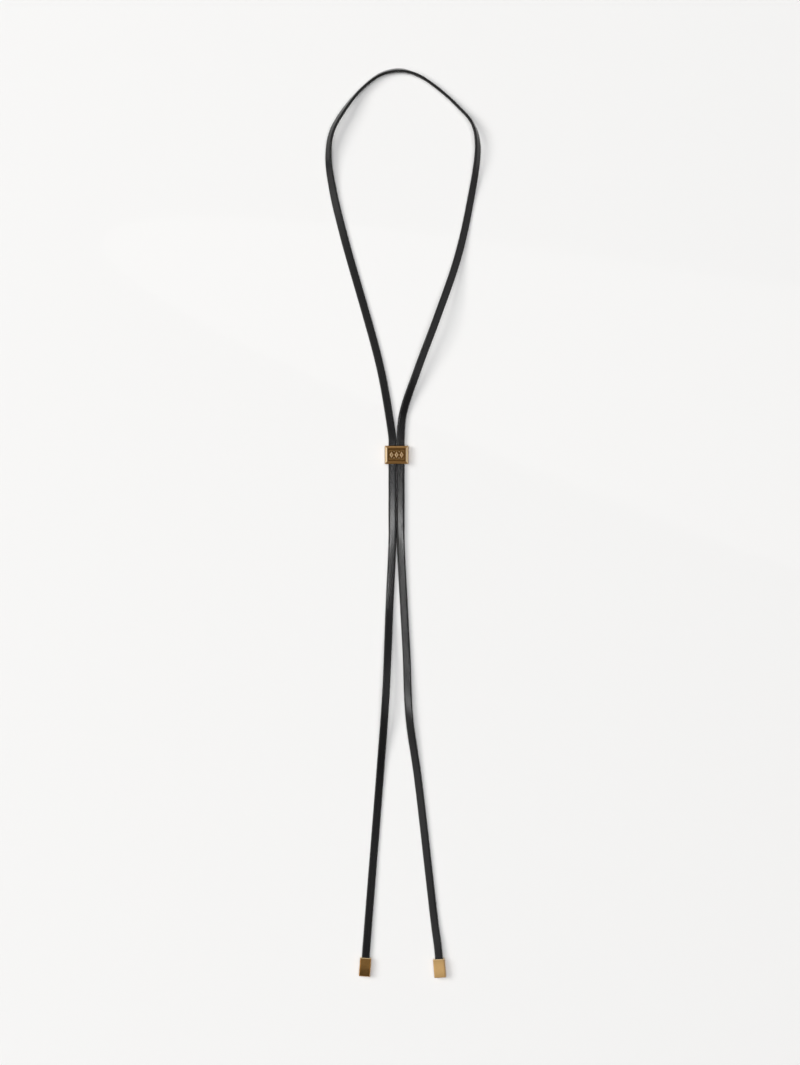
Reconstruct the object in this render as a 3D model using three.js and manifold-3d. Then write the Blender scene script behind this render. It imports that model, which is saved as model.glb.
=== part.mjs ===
// A cord necklace of the bolo kind, laid flat: one flat leather cord, folded at the nape, runs
// side by side through a cast metal slide and ends in two metal tips.
// Millimetres. +Y runs from the slide up to the nape of the loop, +X is the wearer's left,
// and +Z is up from the surface that the necklace lies on. The origin is in the middle of the
// slide's back, on that surface.

import * as THREE from 'three';
import { mergeVertices } from 'three/addons/utils/BufferGeometryUtils.js';
import Module from 'manifold-3d';

const wasm = await Module();
wasm.setup();

// Driving dimensions

const cordWidth = 4.8;
const cordThickness = 1.8;
const cordEdgeRadius = 0.7;
const cordSteps = 80;
const clearance = 0.3; // between the cord and every metal wall round it

const strandGap = 0.2; // between the two strands where they lie side by side
const strandX = (cordWidth + strandGap) / 2;
const slotHeight = cordThickness + 2 * clearance;

const slideWidth = 14.4; // X
const slideLength = 11; // Y
const slideBack = 0.9; // wall under the slot
const slideFace = 0.8; // wall over the slot, up to the sunken field
const rimRise = 0.9; // from the field to the top of the rim
const rimWidth = 1.9;
const rimCrest = 1.5; // from the outer edge to the rim's highest line
const shoulderRun = 0.45; // the steep outer part of the rim's slope, in plan
const shoulderRise = 0.5;
const slideEdge = 0.2; // chamfer round the back
const fieldZ = slideBack + slotHeight + slideFace;
const rimZ = fieldZ + rimRise;

const lozengeHalfWidth = 1.45;
const lozengeHalfLength = 2.2;
const lozengeRise = 0.65;
const lozengeSlope = 0.5;
const pelletRadius = 0.42;
const reliefSink = 0.2; // how deep the relief is rooted in the face

const tipWidth = 6.8;
const tipLength = 11.3;
const tipThickness = slotHeight + 2 * slideBack;
const tipEdge = 0.3;
const cordInTip = 8; // how far the cord reaches into its tip
const beforeTip = 6; // how far outside its tip the cord is already straight

// Where the middle of each tip's mouth lies, how far the tip is turned on the surface, and how far
// its upper face leans towards -X, in degrees.
const leftTip = { x: -18.8, y: -306.4, turn: -4, lean: 0 };
const rightTip = { x: 25.8, y: -307.1, turn: 4.5, lean: 10 };

const degrees = THREE.MathUtils.degToRad;

// The point on a tip's middle line that lies a given depth inside its mouth.
function insideTip({ x, y, turn }, depth) {
  return { x: x + depth * Math.sin(degrees(turn)), y: y - depth * Math.cos(degrees(turn)) };
}

// How far the middle of a chamfered box stands above its lowest point at a given roll.
function middleHeight(width, thickness, edge, roll) {
  const onEdge = (width / 2 - edge) * Math.abs(Math.sin(degrees(roll)));
  const onFace = (thickness / 2) * Math.abs(Math.cos(degrees(roll)));
  return onEdge + onFace;
}

function tipHeight({ lean }) {
  return middleHeight(tipWidth, tipThickness, tipEdge, lean);
}

// How far the middle of the cord's section, a strip with rounded edges, stands above its lowest
// point at a given roll.
function restingHeight(roll) {
  const core = middleHeight(cordWidth, cordThickness - 2 * cordEdgeRadius, cordEdgeRadius, roll);
  return core + cordEdgeRadius;
}

// How far the cord's lowest edge is off the surface inside the slide and inside a tip. side is 1
// where the cord comes out of its tip and -1 where it goes into it.
const carried = slideBack + clearance;
function inTip(tip, side) {
  return { lift: tipHeight(tip) - restingHeight(tip.lean), roll: side * tip.lean };
}

// The cord from its left end, over the nape, to its right end. lift is how far its lowest edge
// is off the surface. roll is how far it has turned from lying flat towards standing on its
// edge, in degrees, with the face that was up now looking out of the loop.
const route = [
  { ...insideTip(leftTip, cordInTip), ...inTip(leftTip, 1) },
  { ...insideTip(leftTip, -beforeTip), ...inTip(leftTip, 1) },
  { x: -9.7, y: -190, lift: 0.8, roll: -4 },
  { x: -6.5, y: -146, lift: 6, roll: -16 },
  { x: -4.3, y: -92, lift: 1.2, roll: -3 },
  { x: -strandX, y: -52, lift: carried, roll: -1 },
  { x: -strandX, y: -40, lift: carried, roll: 0 },
  { x: -strandX, y: 6.5, lift: carried, roll: 0 },
  { x: -strandX, y: 9.5, lift: carried, roll: 0 },
  { x: -4.2, y: 22, lift: 0.8, roll: 2 },
  { x: -10.3, y: 55, lift: 0.3, roll: 6 },
  { x: -32.4, y: 134.5, lift: 0, roll: 10 },
  { x: -38.9, y: 162, lift: 0, roll: 24 },
  { x: -41.4, y: 181, lift: 1.8, roll: 45 },
  { x: -39.6, y: 195.7, lift: 4.2, roll: 60 },
  { x: -32.9, y: 208.3, lift: 4.2, roll: 66 },
  { x: -21.8, y: 222.4, lift: 1, roll: 80 },
  { x: -9.5, y: 231.9, lift: 0, roll: 74 },
  { x: 2.5, y: 234.3, lift: 0, roll: 70 },
  { x: 12.6, y: 231.5, lift: 0, roll: 88 },
  { x: 24.6, y: 223.9, lift: 0, roll: 80 },
  { x: 37.4, y: 212.2, lift: 0.8, roll: 86 },
  { x: 46.3, y: 201.5, lift: 2.8, roll: 80 },
  { x: 49.4, y: 188, lift: 3.6, roll: 54 },
  { x: 44.1, y: 150, lift: 0, roll: 34 },
  { x: 36.9, y: 119, lift: 2.2, roll: 26 },
  { x: 24.3, y: 82.4, lift: 8.2, roll: 24 },
  { x: 12.9, y: 52, lift: 5.2, roll: 20 },
  { x: 3.9, y: 25, lift: 1.3, roll: 7 },
  { x: strandX, y: 9.5, lift: carried, roll: 0 },
  { x: strandX, y: 6.5, lift: carried, roll: 0 },
  { x: strandX, y: -40, lift: carried, roll: 0 },
  { x: strandX, y: -52, lift: carried, roll: -2 },
  { x: 4.5, y: -92, lift: 0.8, roll: -1 },
  { x: 6.1, y: -122, lift: 1, roll: -1 },
  { x: 7.8, y: -160, lift: 1.7, roll: -8 },
  { x: 12.9, y: -196, lift: 0.2, roll: -12 },
  { x: 23.2, y: -285, lift: 0.2, roll: -10 },
  { ...insideTip(rightTip, -beforeTip), ...inTip(rightTip, -1) },
  { ...insideTip(rightTip, cordInTip), ...inTip(rightTip, -1) },
];

// Materials

const blackLeather = new THREE.MeshStandardMaterial({
  color: 0x1f1e1f,
  roughness: 0.42,
  metalness: 0,
});
const antiqueGold = new THREE.MeshStandardMaterial({
  color: 0xb08a4e,
  roughness: 0.3,
  metalness: 1,
});

// Solids

function toManifold(geometry) {
  const merged = geometry.clone();
  merged.deleteAttribute('normal');
  merged.deleteAttribute('uv');
  const welded = mergeVertices(merged);
  return new wasm.Manifold(new wasm.Mesh({
    numProp: 3,
    vertProperties: new Float32Array(welded.attributes.position.array),
    triVerts: new Uint32Array(welded.index.array),
  }));
}

function toGeometry(solid) {
  const mesh = solid.getMesh();
  const geometry = new THREE.BufferGeometry();
  geometry.setAttribute('position', new THREE.BufferAttribute(mesh.vertProperties, 3));
  geometry.setIndex(new THREE.BufferAttribute(mesh.triVerts, 1));
  geometry.computeVertexNormals();
  return geometry;
}

// A plate centred on the Z axis from z = low to z = high, with its edges chamfered at both ends.
function plate(width, length, low, high, chamferRun, chamferRise) {
  const outline = new THREE.Shape([
    new THREE.Vector2(-width / 2, -length / 2),
    new THREE.Vector2(width / 2, -length / 2),
    new THREE.Vector2(width / 2, length / 2),
    new THREE.Vector2(-width / 2, length / 2),
  ]);
  return chamfered(outline, low, high, chamferRun, chamferRise);
}

// A flat outline raised from z = low to z = high, drawn in by chamferRun at both ends.
function chamfered(outline, low, high, chamferRun, chamferRise) {
  const geometry = new THREE.ExtrudeGeometry(outline, {
    depth: high - low - 2 * chamferRise,
    bevelThickness: chamferRise,
    bevelSize: chamferRun,
    bevelOffset: -chamferRun,
    bevelSegments: 1,
  });
  geometry.translate(0, 0, low + chamferRise);
  return toManifold(geometry);
}

// Cord

// A smooth curve through the route's rows that keeps the cord on the surface as it rolls.
// Its frames carry the section's width sideways when the cord is flat, and turn it by the roll.
class LaidCurve extends THREE.CatmullRomCurve3 {
  constructor(rows) {
    super(rows.map(({ x, y, lift }) => new THREE.Vector3(x, y, lift)));
    this.rolls = rows.map(({ roll }) => roll);
  }

  rollAt(t) {
    const place = t * (this.rolls.length - 1);
    const row = Math.min(Math.floor(place), this.rolls.length - 2);
    return THREE.MathUtils.lerp(this.rolls[row], this.rolls[row + 1], place - row);
  }

  getPoint(t, target = new THREE.Vector3()) {
    super.getPoint(t, target);
    target.z = Math.max(target.z, 0) + restingHeight(this.rollAt(t));
    return target;
  }

  computeFrenetFrames(segments) {
    const up = new THREE.Vector3(0, 0, 1);
    const tangents = [];
    const normals = [];
    const binormals = [];
    for (let i = 0; i <= segments; i++) {
      const u = i / segments;
      const tangent = this.getTangentAt(u);
      const outward = up.clone().cross(tangent).normalize();
      const face = tangent.clone().cross(outward).normalize();
      const roll = -degrees(this.rollAt(this.getUtoTmapping(u)));
      tangents.push(tangent);
      normals.push(outward.applyAxisAngle(tangent, roll));
      binormals.push(face.applyAxisAngle(tangent, roll));
    }
    return { tangents, normals, binormals };
  }
}

// The cord's section: a flat strip whose four edges are rounded over.
function cordSection() {
  const x = cordWidth / 2 - cordEdgeRadius;
  const y = cordThickness / 2 - cordEdgeRadius;
  const section = new THREE.Shape();
  section.absarc(x, -y, cordEdgeRadius, -Math.PI / 2, 0);
  section.absarc(x, y, cordEdgeRadius, 0, Math.PI / 2);
  section.absarc(-x, y, cordEdgeRadius, Math.PI / 2, Math.PI);
  section.absarc(-x, -y, cordEdgeRadius, Math.PI, 1.5 * Math.PI);
  return section;
}

function makeCord() {
  const geometry = new THREE.ExtrudeGeometry(cordSection(), {
    steps: cordSteps,
    curveSegments: 1,
    extrudePath: new LaidCurve(route),
  });
  const cord = new THREE.Mesh(geometry, blackLeather);
  cord.name = 'leather_cord';
  return cord;
}

// Slide: a flat sleeve with one slot for both strands, and a raised rim round a sunken field

function lozenge(x) {
  const outline = new THREE.Shape([
    new THREE.Vector2(x - lozengeHalfWidth, 0),
    new THREE.Vector2(x, -lozengeHalfLength),
    new THREE.Vector2(x + lozengeHalfWidth, 0),
    new THREE.Vector2(x, lozengeHalfLength),
  ]);
  const low = fieldZ - lozengeRise;
  return chamfered(outline, low, fieldZ + lozengeRise, lozengeSlope, lozengeRise - reliefSink);
}

function pellet(x, y) {
  const geometry = new THREE.SphereGeometry(pelletRadius, 8, 6);
  geometry.translate(x, y, fieldZ);
  return toManifold(geometry);
}

function makeSlide() {
  const back = plate(slideWidth, slideLength, 0, fieldZ, slideEdge, slideEdge);
  const shoulder = plate(
    slideWidth,
    slideLength,
    slideBack,
    fieldZ + shoulderRise,
    shoulderRun,
    shoulderRise,
  );
  const crest = plate(
    slideWidth - 2 * shoulderRun,
    slideLength - 2 * shoulderRun,
    slideBack + slotHeight,
    rimZ,
    rimCrest - shoulderRun,
    rimRise - shoulderRise,
  );
  const field = plate(
    slideWidth - 2 * rimCrest,
    slideLength - 2 * rimCrest,
    fieldZ,
    rimZ + rimRise,
    rimWidth - rimCrest,
    rimRise,
  );
  const slot = toManifold(new THREE.BoxGeometry(
    2 * strandX + cordWidth + 2 * clearance,
    2 * slideLength,
    slotHeight,
  ).translate(0, 0, slideBack + slotHeight / 2));

  let solid = back.add(shoulder).add(crest).subtract(field);
  const pitch = 2 * lozengeHalfWidth + strandGap;
  for (const x of [-pitch, 0, pitch]) {
    solid = solid.add(lozenge(x));
  }
  const between = pitch / 2;
  const besideY = 1.9;
  for (const x of [-between, between]) {
    for (const y of [-besideY, besideY]) {
      solid = solid.add(pellet(x, y));
    }
  }
  const slide = new THREE.Mesh(toGeometry(solid.subtract(slot)), antiqueGold);
  slide.name = 'slide';
  return slide;
}

// Tips: flat bars with chamfered edges and a blind socket for the cord's end

function makeTip(name, place) {
  const half = tipThickness / 2;
  const bar = plate(tipWidth, tipLength, -half, half, tipEdge, tipEdge)
    .translate([0, -tipLength / 2, 0]);
  const depth = cordInTip + clearance;
  const socket = toManifold(new THREE.BoxGeometry(
    cordWidth + 2 * clearance,
    2 * depth,
    slotHeight,
  ));
  const tip = new THREE.Mesh(toGeometry(bar.subtract(socket)), antiqueGold);
  tip.name = name;
  tip.position.set(place.x, place.y, tipHeight(place));
  tip.rotation.set(0, -degrees(place.lean), degrees(place.turn), 'ZYX');
  return tip;
}

const necklace = new THREE.Group();
necklace.add(
  makeCord(),
  makeSlide(),
  makeTip('left_tip', leftTip),
  makeTip('right_tip', rightTip),
);

export default necklace;
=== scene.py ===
import math

import bpy
import numpy as np
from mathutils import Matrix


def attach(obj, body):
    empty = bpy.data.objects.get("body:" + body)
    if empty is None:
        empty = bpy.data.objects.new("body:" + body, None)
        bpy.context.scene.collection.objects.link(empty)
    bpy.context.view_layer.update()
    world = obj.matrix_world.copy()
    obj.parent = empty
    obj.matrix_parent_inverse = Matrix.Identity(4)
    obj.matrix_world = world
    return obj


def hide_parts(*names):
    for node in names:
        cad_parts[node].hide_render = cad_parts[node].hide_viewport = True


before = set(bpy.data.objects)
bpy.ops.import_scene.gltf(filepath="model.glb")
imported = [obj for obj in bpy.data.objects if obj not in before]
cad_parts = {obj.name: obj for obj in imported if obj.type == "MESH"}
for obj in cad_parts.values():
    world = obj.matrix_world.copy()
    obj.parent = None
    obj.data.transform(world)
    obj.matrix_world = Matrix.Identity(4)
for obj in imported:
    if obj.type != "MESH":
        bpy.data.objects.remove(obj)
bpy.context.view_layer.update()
print("frame loaded:", ", ".join(sorted(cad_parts)))


# Camera, straight over the necklace

camera = {
    "middle": (0.0021, -0.0473),  # what it looks down on, X and Y
    "height": 2.2,
    "longSide": 0.6497,  # how much of the surface the picture's long side takes in
    "sight": 100,  # how far it sees
}


# The focal length is to the sensor's width as the height is to the surface taken in.
def makeCamera():
    lens = bpy.data.cameras.new("camera")
    lens.lens = lens.sensor_width * camera["height"] / camera["longSide"]
    lens.clip_end = camera["sight"]
    body = bpy.data.objects.new("camera", lens)
    body.location = (*camera["middle"], camera["height"])
    bpy.context.scene.collection.objects.link(body)
    bpy.context.scene.camera = body


makeCamera()
print("camera placed")


# Materials are written as sums: a Wire is one output of a node, and each operator adds a Math node

class Wire:
    def __init__(self, finish, socket):
        self.finish = finish
        self.socket = socket

    def maths(self, operation, *values):
        return self.finish.node("ShaderNodeMath", {"operation": operation}, dict(enumerate(values)))

    def __add__(self, other):
        return self.maths("ADD", self, other)

    def __radd__(self, other):
        return self.maths("ADD", other, self)

    def __sub__(self, other):
        return self.maths("SUBTRACT", self, other)

    def __rsub__(self, other):
        return self.maths("SUBTRACT", other, self)

    def __mul__(self, other):
        return self.maths("MULTIPLY", self, other)

    def __rmul__(self, other):
        return self.maths("MULTIPLY", other, self)


class Finish:
    def __init__(self, owner):
        owner.use_nodes = True
        self.tree = owner.node_tree
        self.tree.nodes.clear()

    # Adds a node of any type: first its settings, then the value or the wire of each socket. An
    # output is given by its number or its name.
    def node(self, kind, settings, sockets, output=0):
        made = self.tree.nodes.new(kind)
        for name, value in settings.items():
            if name == "stops":
                self.setStops(made.color_ramp, value)
            else:
                setattr(made, name, value)
        for name, value in sockets.items():
            if isinstance(value, Wire):
                self.tree.links.new(value.socket, made.inputs[name])
            else:
                made.inputs[name].default_value = value
        return Wire(self, made.outputs[output]) if made.outputs else None

    # A ramp's stops are pairs of a place from 0 to 1 and a colour.
    def setStops(self, ramp, stops):
        while len(ramp.elements) < len(stops):
            ramp.elements.new(1)
        for element, (place, colour) in zip(ramp.elements, stops):
            element.position = place
            element.color = colour

    # Where value lies between low and high, as 0 to 1, eased at both ends.
    def step(self, value, low, high):
        settings = {"interpolation_type": "SMOOTHSTEP"}
        sockets = {"Value": value, "From Min": low, "From Max": high}
        return self.node("ShaderNodeMapRange", settings, sockets)

    # The first colour where share is 0, the second where it is 1. A Mix node takes its colours at
    # sockets 6 and 7, and gives the mixed colour at output 2.
    def mix(self, share, first, second, blend="MIX"):
        settings = {"data_type": "RGBA", "blend_type": blend}
        return self.node("ShaderNodeMix", settings, {0: share, 6: first, 7: second}, 2)

    # A vector with each part multiplied by its own number.
    def stretched(self, vector, scale):
        return self.node("ShaderNodeVectorMath", {"operation": "MULTIPLY"}, {0: vector, 1: scale})

    # Clouds from 0 to 1. A higher detail adds finer clouds, and roughness says how strong they are.
    def noise(self, vector, scale, detail=2, roughness=0.5):
        sockets = {"Vector": vector, "Scale": scale, "Detail": detail, "Roughness": roughness}
        return self.node("ShaderNodeTexNoise", {}, sockets)

    # The number that keepNumbers has put on each point.
    def attribute(self, name):
        return self.node("ShaderNodeAttribute", {"attribute_name": name}, {}, "Fac")

    # A relief as a normal: where height is 1 it stands out by distance, in metres.
    def bump(self, height, distance):
        sockets = {"Height": height, "Distance": distance, "Strength": 1}
        return self.node("ShaderNodeBump", {}, sockets)

    # The material's shader, with the sockets that are named here, an underscore for each space.
    def surface(self, **sockets):
        named = {name.replace("_", " "): value for name, value in sockets.items()}
        shader = self.node("ShaderNodeBsdfPrincipled", {}, named)
        self.node("ShaderNodeOutputMaterial", {}, {"Surface": shader})


# Meshes

# Quads between the neighbours of a grid of points that are numbered line by line. A closed
# direction joins its last line to its first.
def gridFaces(lines, points, closeLines=False):
    numbers = np.arange(lines * points).reshape(lines, points)
    if closeLines:
        numbers = np.vstack([numbers, numbers[:1]])
    numbers = np.hstack([numbers, numbers[:, :1]])
    corners = [numbers[:-1, :-1], numbers[:-1, 1:], numbers[1:, 1:], numbers[1:, :-1]]
    return np.stack(corners, -1).reshape(-1, 4)


# The same faces for an open run of rings, with one more face over each end.
def cappedFaces(lines, points):
    ends = [list(range(points))[::-1], list(range((lines - 1) * points, lines * points))]
    return gridFaces(lines, points).tolist() + ends


# A mesh object at the origin with its place in its points, smooth all over.
def makePiece(name, points, faces, material, body, replaced):
    mesh = bpy.data.meshes.new(name)
    mesh.from_pydata(points, [], faces)
    mesh.shade_smooth()
    mesh.materials.append(material)
    piece = bpy.data.objects.new(name, mesh)
    bpy.context.scene.collection.objects.link(piece)
    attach(piece, body)
    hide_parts(replaced)
    return piece


# Keeps one number for each point of a mesh, for its material to read.
def keepNumbers(piece, name, numbers):
    attribute = piece.data.attributes.new(name, "FLOAT", "POINT")
    attribute.data.foreach_set("value", np.ascontiguousarray(numbers, np.float32).ravel())


# Cord: one flat leather lace from tip to tip

# The middle of each tip's mouth, X and Y, its turn on the surface, and how far its upper face
# leans towards -X, in degrees.
tips = {
    "left": (-0.0188, -0.3064, -4, 0),
    "right": (0.0258, -0.3071, 4.5, 10),
    "width": 0.0068,
    "length": 0.0113,
    "thickness": 0.0042,
    "edge": 0.0003,
}

cord = {
    "width": 0.0048,
    "thickness": 0.0018,
    "edgeRadius": 0.0007,
    "dome": 0.00012,  # how much lower each face is at its edges than in its middle
    "domePower": 6,  # a higher one keeps more of the face flat
    "burnishFrom": 0.72,  # where the smooth edge begins, as a share of the half width
    "burnishFade": 0.22,  # and over what share it takes over from the face
    "undersideFade": 1.6,  # a higher one brings the rough underside further up the edges
    "strandX": 0.0025,  # from the slide's middle to each strand's
    "carried": 0.0012,  # its underside above the surface, inside the slide
    "inTip": 0.008,
    "beforeTip": 0.006,
    "curvePoints": 8000,  # how finely the route is read before its rings are spaced evenly
    "spacing": 0.0012,  # from one ring of points to the next
    "length": 1.16,
}


# The point on a tip's middle line that lies a given depth inside its mouth.
def insideTip(tip, depth):
    x, y, turn = tip[:3]
    return x + depth * math.sin(math.radians(turn)), y - depth * math.cos(math.radians(turn))


# How far the middle of a chamfered box stands above its lowest point at a given roll.
def middleHeight(width, thickness, edge, roll):
    return (width / 2 - edge) * np.abs(np.sin(roll)) + thickness / 2 * np.abs(np.cos(roll))


# How far a tip's middle stands above the surface, with its lowest edge on it.
def tipHeight(tip):
    return middleHeight(tips["width"], tips["thickness"], tips["edge"], math.radians(tip[3]))


# How far the middle of the cord's section, a strip with rounded edges, stands above its lowest
# point at a given roll.
def restingHeight(roll):
    radius = cord["edgeRadius"]
    return middleHeight(cord["width"], cord["thickness"] - 2 * radius, radius, roll) + radius


# The route's row at a given depth inside a tip. side is 1 where the cord comes out of its tip and
# -1 where it goes into it.
def tipRow(tip, depth, side):
    lift = tipHeight(tip) - restingHeight(math.radians(tip[3]))
    return (*insideTip(tip, depth), lift, side * tip[3])


# X, Y, the lift of the lowest edge off the surface, and the roll from flat towards on edge in
# degrees, with the face that was up now looking out of the loop.
def cordRoute():
    strand = cord["strandX"]
    carried = cord["carried"]
    return np.array([
        tipRow(tips["left"], cord["inTip"], 1),
        tipRow(tips["left"], -cord["beforeTip"], 1),
        (-0.0097, -0.19, 0.0008, -4),
        (-0.0065, -0.146, 0.006, -16),
        (-0.0043, -0.092, 0.0012, -3),
        (-strand, -0.052, carried, -1),
        (-strand, -0.04, carried, 0),
        (-strand, 0.0065, carried, 0),
        (-strand, 0.0095, carried, 0),
        (-0.0042, 0.022, 0.0008, 2),
        (-0.0103, 0.055, 0.0003, 6),
        (-0.0324, 0.1345, 0, 10),
        (-0.0389, 0.162, 0, 24),
        (-0.0414, 0.181, 0.0018, 45),
        (-0.0396, 0.1957, 0.0042, 60),
        (-0.0329, 0.2083, 0.0042, 66),
        (-0.0218, 0.2224, 0.001, 80),
        (-0.0095, 0.2319, 0, 74),
        (0.0025, 0.2343, 0, 70),
        (0.0126, 0.2315, 0, 88),
        (0.0246, 0.2239, 0, 80),
        (0.0374, 0.2122, 0.0008, 86),
        (0.0463, 0.2015, 0.0028, 80),
        (0.0494, 0.188, 0.0036, 54),
        (0.0441, 0.15, 0, 34),
        (0.0369, 0.119, 0.0022, 26),
        (0.0243, 0.0824, 0.0082, 24),
        (0.0129, 0.052, 0.0052, 20),
        (0.0039, 0.025, 0.0013, 7),
        (strand, 0.0095, carried, 0),
        (strand, 0.0065, carried, 0),
        (strand, -0.04, carried, 0),
        (strand, -0.052, carried, -2),
        (0.0045, -0.092, 0.0008, -1),
        (0.0061, -0.122, 0.001, -1),
        (0.0078, -0.16, 0.0017, -8),
        (0.0129, -0.196, 0.0002, -12),
        (0.0232, -0.285, 0.0002, -10),
        tipRow(tips["right"], -cord["beforeTip"], -1),
        tipRow(tips["right"], cord["inTip"], -1),
    ])


# A smooth curve through a table's rows, read at places counted in rows. Each stretch between two
# rows is a cubic whose slopes at its ends come from the rows before and after it, with the steps
# between rows weighed by the square roots of their lengths.
def smoothCurve(rows, places):
    padded = np.vstack([2 * rows[0] - rows[1], rows, 2 * rows[-1] - rows[-2]])
    steps = np.sqrt(np.linalg.norm(np.diff(padded[:, :3], axis=0), axis=1))[:, None]
    first = np.clip(places.astype(int), 0, len(rows) - 2)
    before, start, end, after = (padded[first + k] for k in range(4))
    stepBefore, step, stepAfter = (steps[first + k] for k in range(3))
    rise = end - start
    direct = rise / step
    slopeIn = (start - before) / stepBefore - (end - before) / (stepBefore + step) + direct
    slopeOut = direct - (after - start) / (step + stepAfter) + (after - end) / stepAfter
    t = (places - first)[:, None]
    return (
        start
        + step * slopeIn * (t - 2 * t**2 + t**3)
        + rise * (3 * t**2 - 2 * t**3)
        + step * slopeOut * (t**3 - t**2)
    )


# How far along the cord each of its evenly spaced rings lies, the ring's middle, and its roll in
# radians. A middle's height is the route's lift, never below 0, and what the roll adds.
def cordLine():
    route = cordRoute()
    curve = smoothCurve(route, np.linspace(0, len(route) - 1, cord["curvePoints"]))
    roll = np.radians(curve[:, 3])
    middle = curve[:, :3].copy()
    middle[:, 2] = np.maximum(middle[:, 2], 0) + restingHeight(roll)
    travelled = np.append(0, np.cumsum(np.linalg.norm(np.diff(middle, axis=0), axis=1)))
    along = np.linspace(0, travelled[-1], round(travelled[-1] / cord["spacing"]) + 1)
    evened = np.stack([np.interp(along, travelled, part) for part in middle.T], 1)
    return along, evened, np.interp(along, travelled, roll)


# The cord's section from the middle of its underside round to there again: a strip with
# quarter circles at its corners, thinned towards its edges by a power of the distance from its
# middle.
def cordSection(arcPoints=7, facePoints=13):
    radius = cord["edgeRadius"]
    x = cord["width"] / 2 - radius
    y = cord["thickness"] / 2 - radius
    quarter = np.linspace(0, math.pi / 2, arcPoints)
    face = np.linspace(-x, x, facePoints + 2)[1:-1]
    corners = [(x, -y, -math.pi / 2), (x, y, 0), (-x, y, math.pi / 2), (-x, -y, math.pi)]
    arcs = [
        np.stack([cx + radius * np.cos(start + quarter), cy + radius * np.sin(start + quarter)], 1)
        for cx, cy, start in corners
    ]
    half = facePoints // 2
    under = np.stack([face, np.full(facePoints, -y - radius)], 1)
    over = np.stack([face[::-1], np.full(facePoints, y + radius)], 1)
    section = np.vstack([under[half:], arcs[0], arcs[1], over, arcs[2], arcs[3], under[:half]])
    thinned = cord["dome"] * (section[:, 0] / (cord["width"] / 2)) ** cord["domePower"]
    section[:, 1] -= np.sign(section[:, 1]) * np.minimum(thinned, np.abs(section[:, 1]))
    return section


leatherLook = {
    "black": (0.004, 0.004, 0.0044, 1),
    "paleBlack": (0.0075, 0.0072, 0.0075, 1),
    "edgeBlack": (0.004, 0.0038, 0.004, 1),
    "edgeShare": 0.6,  # how much of the face's colour and grain the edges lose
    "undersideGrey": (0.02, 0.0185, 0.0175, 1),
    "roughness": 0.125,
    "uneven": 0.03,  # what clouds, pores and edges each add to the roughness
    "undersideRoughness": 0.4,  # what the underside adds
    "clouds": (45, 260, 1),  # repeats in a metre, along the lace and across it
    "pebbles": (3000, 4200, 1),
    "pebbleSoftness": 0.7,
    "drags": (160, 5200, 1),
    "naps": (3000, 9000, 1),
    "pores": 9000,
    "grainDepth": 0.000012,
    "pebbleDepth": 0.22,  # the rest are shares of grainDepth
    "poreDepth": 0.1,
    "dragDepth": 0.04,
    "napDepth": 2.5,
}


# Black finished leather: fine pebbled grain and faint lengthwise drag marks on the face that was
# up, a rougher and greyer underside, and smooth burnished edges.
def blackLeather():
    look = leatherLook
    material = bpy.data.materials.new("black leather")
    leather = Finish(material)
    laid = leather.node("ShaderNodeUVMap", {"uv_map": "laid"}, {})
    edge = leather.attribute("edge")
    under = leather.attribute("underside")
    cloud = leather.noise(leather.stretched(laid, look["clouds"]), 1, 3)
    pebbles = leather.stretched(laid, look["pebbles"])
    pebble = leather.node(
        "ShaderNodeTexVoronoi",
        {"feature": "SMOOTH_F1"},
        {"Vector": pebbles, "Scale": 1, "Smoothness": look["pebbleSoftness"]},
    )
    pore = leather.noise(laid, look["pores"], 2)
    drag = leather.noise(leather.stretched(laid, look["drags"]), 1, 2)
    nap = leather.noise(leather.stretched(laid, look["naps"]), 1, 4, 0.7)
    dark = leather.mix(cloud, look["black"], look["paleBlack"])
    worn = leather.mix(edge * look["edgeShare"], dark, look["edgeBlack"])
    colour = leather.mix(under, worn, look["undersideGrey"])
    uneven = look["uneven"]
    rough = look["roughness"] + uneven * cloud + uneven * pore + uneven * edge
    grain = look["pebbleDepth"] * pebble + look["poreDepth"] * pore + look["dragDepth"] * drag
    faceGrain = grain * (1 - look["edgeShare"] * edge)
    leather.surface(
        Base_Color=colour,
        Roughness=rough + look["undersideRoughness"] * under,
        Normal=leather.bump(faceGrain + look["napDepth"] * nap * under, look["grainDepth"]),
    )
    return material


# The section set across the line at each ring's middle: its width sideways along the surface and
# its thickness upwards, both turned by the roll about the line.
def cordRings(middle, roll, section):
    tangent = np.gradient(middle, axis=0)
    tangent /= np.linalg.norm(tangent, axis=1)[:, None]
    outward = np.cross((0, 0, 1), tangent)
    outward /= np.linalg.norm(outward, axis=1)[:, None]
    face = np.cross(tangent, outward)
    turn = np.stack([np.cos(roll), np.sin(roll)], 1)[:, :, None]
    acrossAxis = outward * turn[:, 0] - face * turn[:, 1]
    faceAxis = face * turn[:, 0] + outward * turn[:, 1]
    return (
        middle[:, None]
        + section[None, :, :1] * acrossAxis[:, None]
        + section[None, :, 1:] * faceAxis[:, None]
    )


# The map that the leather's pattern reads: how far along the cord and how far round it each
# corner of each face lies, in metres.
def layPattern(piece, along, section):
    lines = len(along)
    points = len(section)
    sides = np.linalg.norm(np.diff(np.vstack([section, section[:1]]), axis=0), axis=1)
    around = np.append(0, np.cumsum(sides))
    u = np.repeat(along, points + 1).reshape(lines, points + 1)
    v = np.tile(around, (lines, 1))
    uv = np.stack([u, v], -1)
    quads = np.stack([uv[:-1, :-1], uv[:-1, 1:], uv[1:, 1:], uv[1:, :-1]], 2).reshape(-1, 2)
    caps = np.zeros((2 * points, 2))
    layer = piece.data.uv_layers.new(name="laid")
    layer.uv.foreach_set("vector", np.vstack([quads, caps]).astype(np.float32).ravel())


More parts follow.
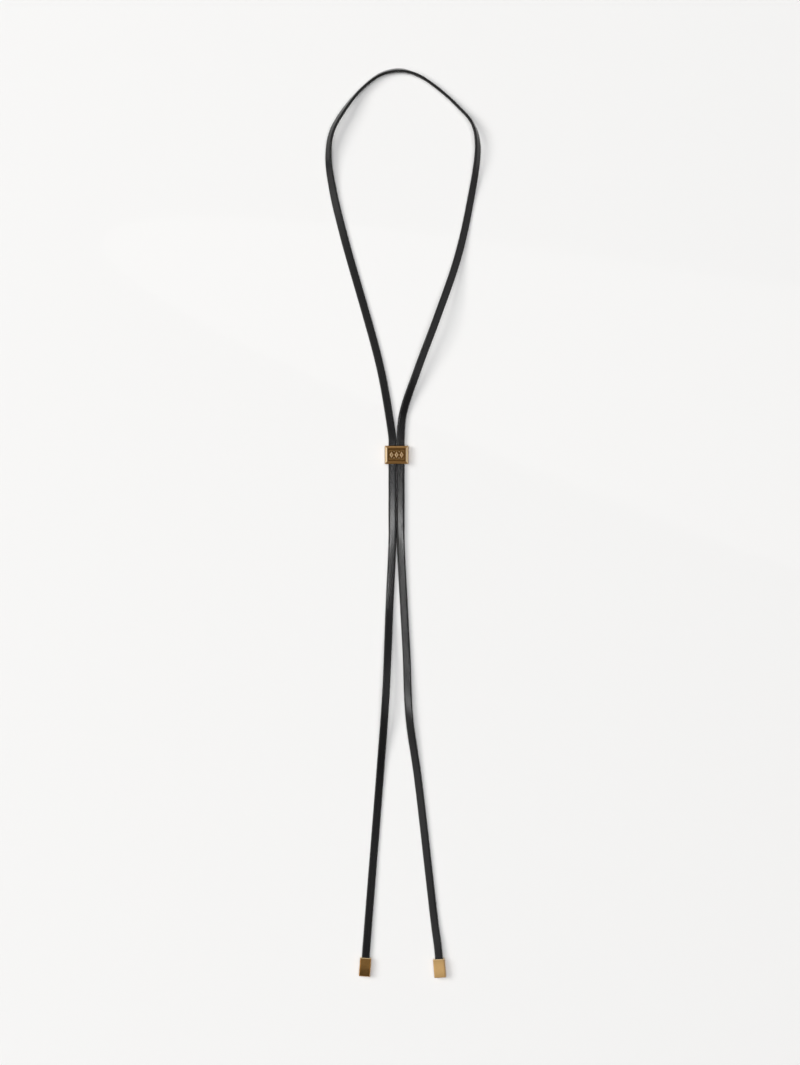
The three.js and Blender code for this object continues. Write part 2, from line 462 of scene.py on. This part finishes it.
# The edges' burnish grows with the distance from the section's middle, and the underside's finish
# with the depth below it.
def makeCord():
    along, middle, roll = cordLine()
    section = cordSection()
    rings = cordRings(middle, roll, section)
    lines, points = rings.shape[:2]
    piece = makePiece(
        "leather_lace", rings.reshape(-1, 3), cappedFaces(lines, points), blackLeather(),
        "necklace", "leather_cord",
    )
    layPattern(piece, along, section)
    fromMiddle = np.abs(section[:, 0]) / (cord["width"] / 2)
    below = -section[:, 1] / (cord["thickness"] / 2)
    edge = np.clip((fromMiddle - cord["burnishFrom"]) / cord["burnishFade"], 0, 1)
    underside = np.clip(below * cord["undersideFade"], 0, 1) * (1 - edge)
    keepNumbers(piece, "edge", np.tile(edge, lines))
    keepNumbers(piece, "underside", np.tile(underside, lines))

    return piece


lace = makeCord()
print("cord laid")


# Metal

# Steps from an edge inwards to a given reach: close together on the edge's rounding, then even.
def fromEdge(radius, reach, pitch, roundingPoints=5):
    rounding = radius * (1 - np.cos(np.linspace(0, math.pi / 2, roundingPoints)))
    even = np.linspace(radius, reach, max(2, round((reach - radius) / pitch)))
    return np.append(rounding, even[1:])


# Places from one edge of a length to the other, its middle at 0.
def edgeToEdge(length, radius, pitch):
    half = fromEdge(radius, length / 2, pitch) - length / 2
    return np.append(half, -half[-2::-1])


# How far a rounded edge lies under the faces that it joins: a quarter circle's drop.
def roundingDrop(distance, radius):
    return radius - np.sqrt(radius**2 - np.maximum(radius - distance, 0) ** 2)


# The smaller of two values, with the kink between them rounded over a width.
def softMin(first, second, width):
    near = np.maximum(width - np.abs(first - second), 0)
    return np.minimum(first, second) - near**2 / (4 * width)


# The larger of two values, rounded in the same way.
def softMax(first, second, width):
    return -softMin(-first, -second, width)


# The outer skin of a flat body as one ring for each station along Y. A ring runs over the top
# from left to right, down the right side, under the body and up the left side. top and under
# give the heights of both faces from X, Y and the distance to the nearest edge. Where a height
# needs no X or no Y, it adds 0 times it, which gives the answer the grid's shape.
def skinRings(form, top, under, sidePoints=9):
    radius = form["edge"]
    across = edgeToEdge(form["width"], radius, form["pitch"])
    below = edgeToEdge(form["width"], radius, form["underPitch"] * form["pitch"])[::-1]
    stations = edgeToEdge(form["length"], radius, form["pitch"])[:, None]
    toEnd = form["length"] / 2 - np.abs(stations)
    narrowed = 1 - roundingDrop(toEnd, radius) / (form["width"] / 2)

    def heights(x, face, sign):
        inwards = np.minimum(form["width"] / 2 - np.abs(x), toEnd)
        return face(x, stations, inwards) - sign * roundingDrop(inwards, radius)

    over = heights(across[None], top, 1)
    beneath = heights(below[None], under, -1)
    share = np.linspace(0, 1, sidePoints)[None, 1:-1]
    right = over[:, -1:] * (1 - share) + beneath[:, :1] * share
    left = beneath[:, -1:] * (1 - share) + over[:, :1] * share
    x = np.concatenate([
        across[None] * narrowed,
        np.repeat(form["width"] / 2 * narrowed, share.size, 1),
        below[None] * narrowed,
        np.repeat(-form["width"] / 2 * narrowed, share.size, 1),
    ], 1)
    z = np.concatenate([over, right, beneath, left], 1)
    return np.stack([x, np.broadcast_to(stations, x.shape), z], -1)


# An end ring fitted to a hole in the same end: its box is stretched to the hole's, grown all
# round by a margin and moved inwards by a depth.
def holeRing(ring, hole, margin, depth):
    low, high = ring.min(0), ring.max(0)
    share = (ring - low) / np.where(high > low, high - low, 1)
    x = (share[:, 0] - 0.5) * (hole["width"] + 2 * margin)
    z = hole["floor"] - margin + share[:, 2] * (hole["height"] + 2 * margin)
    y = ring[:, 1] - np.sign(ring[:, 1]) * depth
    return np.stack([x, y, z], -1)


# The rings that lead from an end face over a rounded lip into its hole.
def lipRings(ring, hole, lip, lipPoints=5):
    turns = np.linspace(0, math.pi / 2, lipPoints)
    return [
        holeRing(ring, hole, lip * (1 - math.sin(turn)), lip * (1 - math.cos(turn)))
        for turn in turns
    ]


# A ring drawn in towards its own middle.
def drawnIn(ring, share):
    middle = (ring.min(0) + ring.max(0)) / 2
    return middle + (ring - middle) * share


antiqueLook = {
    "deepGold": (0.64, 0.36, 0.14, 1),
    "warmGold": (0.76, 0.45, 0.18, 1),
    # pale gold for the rubbed crests and for the painted highlight on the rim's side bars
    "rubbedAndLitGold": (0.82, 0.63, 0.4, 1),
    # brown of age, also laid on the rim's end bars partly as painted shade
    "brown": (0.31, 0.16, 0.045, 1),
    "nearlyBlack": (0.05, 0.022, 0.006, 1),
    "clouds": 900,  # repeats in a metre
    "grit": 9000,
    "spots": 2200,
    "scratches": (1800, 16000, 1800),
    "spotLimits": (0.45, 0.75),  # where spots of patina begin and are complete, in their noise
    # the brown share also holds painted shade on the rim's end bars
    "brownLimits": (0.0, 0.6),  # the same for the brown, in how low the gold lies
    "blackLimits": (0.45, 1.2),
    "roughness": 0.2,
    "reliefDepth": 0.00002,
}


# Antique gold: pale where it is rubbed and, as a painted highlight, on the rim's side bars; brown
# with age where it lies low and, partly as painted shade, on the rim's end bars; nearly black in the
# deepest corners. Clouds shift the brown's border both ways, and spots widen the black.
def antiqueGold():
    look = antiqueLook
    material = bpy.data.materials.new("antique gold")
    gold = Finish(material)
    place = gold.node("ShaderNodeTexCoord", {}, {}, "Object")
    recess = gold.attribute("recess")
    rubbed = gold.attribute("rubbed")
    cloud = gold.noise(place, look["clouds"], 3)
    grit = gold.noise(place, look["grit"], 3)
    scratch = gold.noise(gold.stretched(place, look["scratches"]), 1, 2)
    spots = gold.step(gold.noise(place, look["spots"], 4, 0.65), *look["spotLimits"])
    browned = gold.step(recess + 0.3 * cloud - 0.15, *look["brownLimits"])
    black = gold.step(recess * (0.65 + 0.6 * spots), *look["blackLimits"])
    warm = gold.mix(cloud, look["deepGold"], look["warmGold"])
    # paler where rubbed, and on the rim's side bars as a painted highlight
    bright = gold.mix(rubbed, warm, look["rubbedAndLitGold"])
    # browner with age, and on the rim's end bars partly as painted shade
    brown = gold.mix(browned, bright, look["brown"])
    colour = gold.mix(black, brown, look["nearlyBlack"])
    worked = look["roughness"] + 0.06 * cloud + 0.04 * scratch - 0.05 * rubbed
    relief = 0.5 * grit * browned + 0.25 * cloud + 0.12 * scratch
    gold.surface(
        Base_Color=colour,
        Metallic=1.0,
        Roughness=worked + 0.12 * browned + 0.2 * black,
        Normal=gold.bump(relief, look["reliefDepth"]),
    )
    return material


satinLook = {
    # paler gold at the mouth: partly wear, partly a painted highlight
    "wornAndLitGold": (0.9, 0.68, 0.38, 1),
    # darker gold on the sides: painted shade
    "sideShadeGold": (0.3, 0.16, 0.05, 1),
    "clouds": 500,  # repeats in a metre
    "waves": 260,
    "brushing": (9000, 400, 9000),
    "reliefDepth": 0.000006,
}


# Gold of two tones: fine lengthwise brushing, slow waves from polishing, a paler mouth that is
# partly wear where the cord rubs it and partly a painted highlight, and duller sides whose darker
# colour is painted shade. A smooth face mirrors what is over it, and a rough one catches light from
# all round.
def satinGold(name, rough, deep, pale):
    look = satinLook
    material = bpy.data.materials.new(name)
    gold = Finish(material)
    place = gold.node("ShaderNodeTexCoord", {}, {}, "Object")
    rubbed = gold.attribute("rubbed")
    dulled = gold.attribute("dulled")
    cloud = gold.noise(place, look["clouds"], 3)
    wave = gold.noise(place, look["waves"], 1)
    brushed = gold.noise(gold.stretched(place, look["brushing"]), 1, 3)
    colour = gold.mix(0.6 * cloud + 0.4 * brushed, deep, pale)
    # paler mouth: partly wear, partly a painted highlight
    worn = gold.mix(rubbed, colour, look["wornAndLitGold"])
    # darker sides: painted shade
    shown = gold.mix(dulled, worn, look["sideShadeGold"])
    relief = 9 * wave + (1.4 * brushed + 0.6 * cloud) * (1 - rubbed)
    gold.surface(
        Base_Color=shown,
        Metallic=1.0,
        Roughness=rough + 0.08 * brushed + 0.05 * cloud - 0.06 * rubbed + 0.1 * dulled,
        Normal=gold.bump(relief, look["reliefDepth"]),
    )
    return material


# Slide: a flat sleeve for both strands, with a mitred rim round a field of lozenges and pellets

slide = {
    "width": 0.0144,
    "length": 0.011,
    "field": 0.0041,  # heights above its back
    "rim": 0.005,
    "rimWidth": 0.0019,
    "rimCrest": 0.0015,  # from the outer edge to the rim's highest line
    "shoulderRun": 0.00045,  # the steep outer part of the rim's slope
    "shoulderRise": 0.0005,
    "lozengePitch": 0.0031,
    "lozengeHalfWidth": 0.00145,
    "lozengeHalfLength": 0.0022,
    "lozengeStep": 0.0002,
    "lozengeStepRun": 0.00018,
    "lozengeRise": 0.00065,
    "lozengeSlope": 0.0005,
    "lozengeHollow": 0.00022,
    "hollowFrom": 0.00078,  # how far inside the outline the hollow begins
    "hollowRun": 0.00025,
    "pelletRadius": 0.00042,
    "pelletY": 0.0019,
    "edge": 0.00014,
    "pitch": 0.00009,  # from one point to the next
    "underPitch": 5,  # how many times as far underneath
    "soft": 0.0001,  # how wide the casting's inner and outer kinks are rounded
    "slot": {"width": 0.01004, "height": 0.00204, "floor": 0.00108},
    "lip": 0.0002,
    "endFace": 0.98,  # the ring where an end's rounding gives way to its flat face, as a share
}

# Where the slide is brown and where it is pale, as shares of 1: brown with age, and on the rim's
# end bars partly painted shade; pale where rubbed, and on the rim's side bars a painted highlight
patina = {
    "reaches": (0.00025, 0.0005, 0.0008),  # how far round a point its hollowness is judged
    "directions": 12,
    "brownDepth": 0.00013,  # a hollow this deep is fully brown
    "rubbedHeight": 0.0002,  # a crest this high is fully rubbed
    "mitre": 0.0002,  # how wide one bar of the rim passes into the next
    "fieldMargin": 0.0001,
    "brownField": 0.25,
    # painted shade, partly age: how brown the rim's end bars are painted
    "endBarShadeAndAge": 0.3,
    "brownSlot": 0.9,
    # painted highlight: how pale the rim's side bars are painted
    "sideBarHighlight": 0.75,
    "rubbedElsewhere": 0.4,
}


# The rim climbs steeply from the outer edge, then gently to its crest, and drops to the field.
def rimHeight(inwards):
    rise = slide["rim"] - slide["field"]
    shoulder = inwards * slide["shoulderRise"] / slide["shoulderRun"]
    gentle = (rise - slide["shoulderRise"]) / (slide["rimCrest"] - slide["shoulderRun"])
    crest = rise + (inwards - slide["rimCrest"]) * gentle
    inner = (slide["rimWidth"] - inwards) * rise / (slide["rimWidth"] - slide["rimCrest"])
    ridge = softMin(softMin(shoulder, crest, slide["soft"]), inner, slide["soft"])
    return slide["field"] + softMax(ridge, 0, slide["soft"])


# A lozenge's height over the field, from how far inside its outline a point lies: a low step,
# then a slope up to a flat top with a small hollow in its middle.
def lozengeHeight(x, y):
    halfWidth = slide["lozengeHalfWidth"]
    halfLength = slide["lozengeHalfLength"]
    reach = halfWidth * halfLength / math.hypot(halfWidth, halfLength)
    inside = reach * (1 - np.abs(x) / halfWidth - np.abs(y) / halfLength)
    step = slide["lozengeStep"] * np.clip(inside / slide["lozengeStepRun"] + 0.5, 0, 1)
    rise = slide["lozengeRise"] - slide["lozengeStep"]
    climb = softMin(inside * rise / slide["lozengeSlope"], rise, slide["soft"])
    sunk = np.clip((inside - slide["hollowFrom"]) / slide["hollowRun"], 0, 1)
    return step + np.maximum(climb, 0) - slide["lozengeHollow"] * sunk


# A pellet's height over the field: half a ball.
def pelletHeight(x, y):
    return np.sqrt(np.maximum(slide["pelletRadius"] ** 2 - x**2 - y**2, 0))


# The upper face: the rim and the field, with three lozenges in a row and a pellet above and below
# each gap between them.
def slideTop(x, y, inwards):
    pitch = slide["lozengePitch"]
    relief = np.zeros(np.broadcast(x, y).shape)
    for middle in (-pitch, 0, pitch):
        relief = np.maximum(relief, lozengeHeight(x - middle, y))
    for middle in (-pitch / 2, pitch / 2):
        relief = np.maximum(relief, pelletHeight(x - middle, np.abs(y) - slide["pelletY"]))
    return rimHeight(inwards) + relief


# How far a point lies from the slide's sides and from its ends, inwards.
def slideInwards(x, y):
    return slide["width"] / 2 - np.abs(x), slide["length"] / 2 - np.abs(y)


# How far a point lies under the mean height of the points round it, at a few distances.
def hollowness(x, y):
    turns = np.linspace(0, 2 * math.pi, patina["directions"], endpoint=False)
    total = np.zeros(np.broadcast(x, y).shape)
    for reach in patina["reaches"]:
        for turn in turns:
            nearX = x + reach * math.cos(turn)
            nearY = y + reach * math.sin(turn)
            inwards = np.minimum(*slideInwards(nearX, nearY))
            total += slideTop(nearX, nearY, np.maximum(inwards, 0))
    mean = total / (len(patina["reaches"]) * turns.size)
    return mean - slideTop(x, y, np.minimum(*slideInwards(x, y)))


# The brown lies in hollows and in the field, and on the rim's end bars, where it is partly painted
# shade. The crests are rubbed pale, and the rim's side bars are painted pale as a highlight.
def keepPatina(piece, rings, skinLines):
    x, y, z = rings[..., 0], rings[..., 1], rings[..., 2]
    line = np.arange(len(rings))[:, None]
    onTop = (line < skinLines) & (z > slide["field"] - slide["edge"])
    inSlot = line >= skinLines + 2  # past the two rings of the end's flat face
    hollow = hollowness(x, y)
    toSide, toEnd = slideInwards(x, y)
    sideBar = np.clip((toEnd - toSide) / patina["mitre"], 0, 1) * (toSide < slide["rimWidth"])
    endBar = np.clip((toSide - toEnd) / patina["mitre"], 0, 1) * (toEnd < slide["rimWidth"])
    inField = z < slide["field"] + patina["fieldMargin"]
    sunk = np.clip(hollow / patina["brownDepth"], 0, 1)
    # brown share: age in hollows and the field, and partly painted shade on the rim's end bars
    recess = sunk + patina["endBarShadeAndAge"] * endBar + patina["brownField"] * inField
    crest = np.clip(-hollow / patina["rubbedHeight"], 0, 1) * (1 - endBar)
    # pale share: wear on the crests, and a painted highlight on the rim's side bars
    rubbed = crest + patina["sideBarHighlight"] * sideBar
    slot = patina["brownSlot"] * inSlot
    keepNumbers(piece, "recess", np.where(onTop, np.clip(recess, 0, 1), slot))
    keepNumbers(piece, "rubbed", np.where(onTop, np.clip(rubbed, 0, 1), patina["rubbedElsewhere"]))


# The rings run over the skin from one end to the other, over the end's lip into the slot, and
# through it back to the start.
def makeSlide():
    skin = skinRings(slide, slideTop, lambda x, y, inwards: 0 * x * y)
    starting, ending = (
        [drawnIn(ring, slide["endFace"])] + lipRings(ring, slide["slot"], slide["lip"])
        for ring in (skin[0], skin[-1])
    )
    rings = np.concatenate([skin, ending, starting[::-1]])
    lines, points = rings.shape[:2]
    piece = makePiece(
        "gold_slide", rings.reshape(-1, 3), gridFaces(lines, points, True), antiqueGold(),
        "slide", "slide",
    )
    keepPatina(piece, rings, len(skin))


makeSlide()
print("slide cast")


# Tips: flat bars with bevelled faces and a socket for the cord's end

tip = {
    "width": tips["width"],
    "length": tips["length"],
    "thickness": tips["thickness"],
    "bevel": tips["edge"],
    "crown": 0.00012,  # how much lower the upper face is at its ends than in its middle
    "edge": 0.0001,
    "pitch": 0.00014,  # from one point to the next
    "underPitch": 5,  # how many times as far underneath
    "soft": 0.00006,  # how wide the bevels' kinks are rounded
    "socket": {"width": 0.00504, "height": 0.00204, "floor": 0.00108},
    "socketDepth": 0.0083,
    "lip": 0.00012,
    "mouthFace": 0.98,  # the ring where an end's rounding gives way to its flat face, as a share
    "backFace": 0.97,
    "paledBevels": 2,  # how many bevels in from the mouth the paler gold begins
    # how much darker the sides are painted as shade, and how much duller
    "shadedSides": 0.75,
}

# Each gold's roughness, its deep tone and its pale tone. Both tips are one gold: the left tip's
# darker tones are painted shade and the right tip's paler tones a painted highlight
tipGolds = {
    "polished gold with painted shade": (0.1, (0.74, 0.38, 0.11, 1), (0.84, 0.46, 0.15, 1)),
    "satin gold with painted highlight": (0.34, (0.9, 0.57, 0.24, 1), (0.97, 0.64, 0.28, 1)),
}


# Both faces rise from the edge at 45 degrees over the bevel and then lie flat.
def bevelRise(inwards):
    return softMin(inwards - tip["bevel"], 0, tip["soft"])


# Rings put where a tip lies: they lean about its length, turn about Z, and move to its mouth.
# back is how far a point lies from the mouth's plane and over how far above the middle.
def placedRings(side, back, over, mouth):
    x, y = mouth[:2]
    turn = math.radians(mouth[2])
    lean = math.radians(mouth[3])
    leaning = side * math.cos(lean) - over * math.sin(lean)
    return np.stack([
        x + leaning * math.cos(turn) - back * math.sin(turn),
        y + leaning * math.sin(turn) + back * math.cos(turn),
        tipHeight(mouth) + over * math.cos(lean) + side * math.sin(lean),
    ], -1)


# The rings run from the closed end over the skin to the mouth, and over its lip to the bottom of
# the socket. The upper face is crowned by the square of the distance from its middle.
def makeTip(name, cadNode, mouth, goldName):
    def top(x, y, inwards):
        crown = tip["crown"] * (2 * y / tip["length"]) ** 2
        return tip["thickness"] + bevelRise(inwards) - crown + 0 * x

    def under(x, y, inwards):
        return -bevelRise(inwards) + 0 * x * y

    skin = skinRings(tip, top, under)
    first, last = skin[0], skin[-1]
    lips = [drawnIn(last, tip["mouthFace"])] + lipRings(last, tip["socket"], tip["lip"])
    bottom = holeRing(last, tip["socket"], 0, tip["socketDepth"])
    rings = np.concatenate([[drawnIn(first, tip["backFace"])], skin, lips, [bottom]])
    half = tip["thickness"] / 2
    back = rings[..., 1] - tip["length"] / 2
    over = rings[..., 2] - half
    atMouth = np.clip(back / tip["bevel"] + tip["paledBevels"], 0, 1)
    offFaces = np.clip((half - np.abs(over)) / tip["bevel"], 0, 1)
    placed = placedRings(rings[..., 0], back, over, mouth)
    piece = makePiece(
        name, placed.reshape(-1, 3), cappedFaces(*placed.shape[:2]),
        satinGold(goldName, *tipGolds[goldName]), "necklace", cadNode,
    )
    # the mouth's paler gold: partly wear, partly a painted highlight
    keepNumbers(piece, "rubbed", atMouth)
    # the sides' darker gold is painted shade; their extra roughness makes them duller
    keepNumbers(piece, "dulled", tip["shadedSides"] * offFaces * (1 - atMouth))


# One gold on both tips, painted darker on the left as shade and paler on the right as a highlight
makeTip("left_gold_tip", "left_tip", tips["left"], "polished gold with painted shade")
makeTip("right_gold_tip", "right_tip", tips["right"], "satin gold with painted highlight")
print("tips made")


# Surface, lights and surroundings

studio = {
    "floorColour": (0.87, 0.87, 0.87),
    "floorRoughness": 0.9,
    "floorSize": 14,
    "keyColour": (1, 0.985, 0.96),
    "lightDistance": 8,
    "key": {"bearing": 165, "elevation": 47, "size": 4.5, "glow": 0.2},
    "keyFill": {"bearing": 165, "elevation": 47, "size": 4.5, "glow": 6.65},
    "ceiling": {"bearing": 0, "elevation": 90, "size": 4.8, "glow": 6.2},
    "streakHeight": 0.8,
    "streaks": {  # X and Y of the middle, size along X and Y, and glow
        "upper": (-0.014, -0.057, 0.04, 0.04, 34),
        "lower": (-0.11, -0.17, 0.2, 0.06, 5),
    },
}


# One large square with the surface of the table at height 0.
def makeFloor():
    half = studio["floorSize"] / 2
    corners = [(-half, -half, 0), (half, -half, 0), (half, half, 0), (-half, half, 0)]
    mesh = bpy.data.meshes.new("floor")
    mesh.from_pydata(corners, [], [(0, 1, 2, 3)])
    paper = bpy.data.materials.new("pale paper")
    Finish(paper).surface(Base_Color=(*studio["floorColour"], 1), Roughness=studio["floorRoughness"])
    mesh.materials.append(paper)
    floor = bpy.data.objects.new("floor", mesh)
    bpy.context.scene.collection.objects.link(floor)


# An area light at a place, turned to the middle of what the camera sees. Its glow is the
# brightness of its face, so that its power is glow times pi times its area.
def makeSoftbox(name, place, size, glow, colour):
    light = bpy.data.lights.new(name, "AREA")
    light.shape = "RECTANGLE"
    light.size, light.size_y = size
    light.energy = glow * math.pi * light.size * light.size_y
    light.color = colour
    box = bpy.data.objects.new(name, light)
    box.location = place
    aim = box.location.copy()
    aim.x -= camera["middle"][0]
    aim.y -= camera["middle"][1]
    box.rotation_euler = aim.to_track_quat("Z", "Y").to_euler()
    box.visible_camera = False
    bpy.context.scene.collection.objects.link(box)
    return box


# A softbox a given way round from +X and up from the surface, in degrees.
def makeFarLight(name, form, colour):
    bearing = math.radians(form["bearing"])
    elevation = math.radians(form["elevation"])
    distance = studio["lightDistance"]
    place = (
        camera["middle"][0] + distance * math.cos(elevation) * math.cos(bearing),
        camera["middle"][1] + distance * math.cos(elevation) * math.sin(bearing),
        distance * math.sin(elevation),
    )
    return makeSoftbox(name, place, (form["size"], form["size"]), form["glow"], colour)


# Small low softboxes, facing straight down, that put the two bright streaks on the leather and
# light nothing else.
def makeStreaks():
    leather = bpy.data.collections.new("leather")
    leather.objects.link(lace)
    for name, (x, y, width, depth, glow) in studio["streaks"].items():
        place = (x, y, studio["streakHeight"])
        streak = makeSoftbox(name + " streak", place, (width, depth), glow, (1, 1, 1))
        streak.rotation_euler = (0, 0, 0)
        streak.visible_diffuse = False
        streak.light_linking.receiver_collection = leather


# What the room looks like in each direction. A reach is where one look begins to give way to
# another and where it has: up from the surface, back from the tips' side, or out to one side.
surroundings = {
    "horizon": (0.88, 0.88, 0.88, 1),
    "horizonReach": (0.03, 0.07),  # up
    "byHeight": [  # up, and the colour there
        (0.5, (0.85, 0.85, 0.85, 1)),
        (0.64, (0.5, 0.5, 0.5, 1)),
        (0.88, (0.26, 0.26, 0.26, 1)),
    ],
    "frontShade": (0.6, 0.57, 0.54, 1),
    "frontReach": (-0.5, 0.2),  # back
    "overheadFront": (0.09, 0.09, 0.09, 1),
    "overheadBack": (0.26, 0.26, 0.26, 1),
    "overheadReach": (0.9, 0.94),  # up
    "overheadMiddle": (-0.15, -0.09),  # back
    "wallReach": (0.05, 0.45),  # up, from the colour at a wall's foot to the one at its top
    "leftFoot": (0.35, 0.36, 0.38, 1),
    "leftTop": (0.92, 0.91, 0.9, 1),
    "leftReach": (0.14, 0.5),  # out to the left
    "rightFoot": (0.4, 0.38, 0.36, 1),
    "rightTop": (0.62, 0.62, 0.62, 1),
    "rightReach": (0.38, 0.54),  # out to the right
}


# The room as shiny parts mirror it: pale at the horizon, dimmer the higher it goes, dimmest
# overhead in front, and with a wall on each side that grows paler upwards. The softboxes alone
# light what isn't shiny.
def makeSurroundings():
    look = surroundings
    world = bpy.data.worlds.new("studio")
    bpy.context.scene.world = world
    room = Finish(world)
    direction = room.node("ShaderNodeTexCoord", {}, {}, "Generated")
    parts = room.node("ShaderNodeSeparateXYZ", {}, {0: direction})
    across = Wire(room, parts.socket.node.outputs["X"])
    back = Wire(room, parts.socket.node.outputs["Y"])
    up = Wire(room, parts.socket.node.outputs["Z"])
    height = room.node("ShaderNodeValToRGB", {"stops": look["byHeight"]}, {0: up})
    front = room.mix(room.step(back, *look["frontReach"]), look["frontShade"], (1, 1, 1, 1))
    low = room.mix(1, height, front, "MULTIPLY")
    behind = room.step(back, *look["overheadMiddle"])
    overhead = room.mix(behind, look["overheadFront"], look["overheadBack"])
    over = room.mix(room.step(up, *look["overheadReach"]), low, overhead)
    tall = room.step(up, *look["wallReach"])
    leftWall = room.mix(tall, look["leftFoot"], look["leftTop"])
    rightWall = room.mix(tall, look["rightFoot"], look["rightTop"])
    left = room.mix(room.step(across * -1, *look["leftReach"]), over, leftWall)
    walls = room.mix(room.step(across, *look["rightReach"]), left, rightWall)
    whole = room.mix(room.step(up, *look["horizonReach"]), look["horizon"], walls)
    glow = room.node("ShaderNodeBackground", {}, {"Color": whole, "Strength": 1.0})
    room.node("ShaderNodeOutputWorld", {}, {"Surface": glow})
    world.cycles_visibility.diffuse = False


makeFloor()
makeFarLight("key", studio["key"], studio["keyColour"])
makeFarLight("key fill", studio["keyFill"], studio["keyColour"]).visible_glossy = False
makeFarLight("ceiling", studio["ceiling"], (1, 1, 1)).visible_glossy = False
makeStreaks()
makeSurroundings()
bpy.context.scene.view_settings.view_transform = "Standard"
print("surface and lights set")
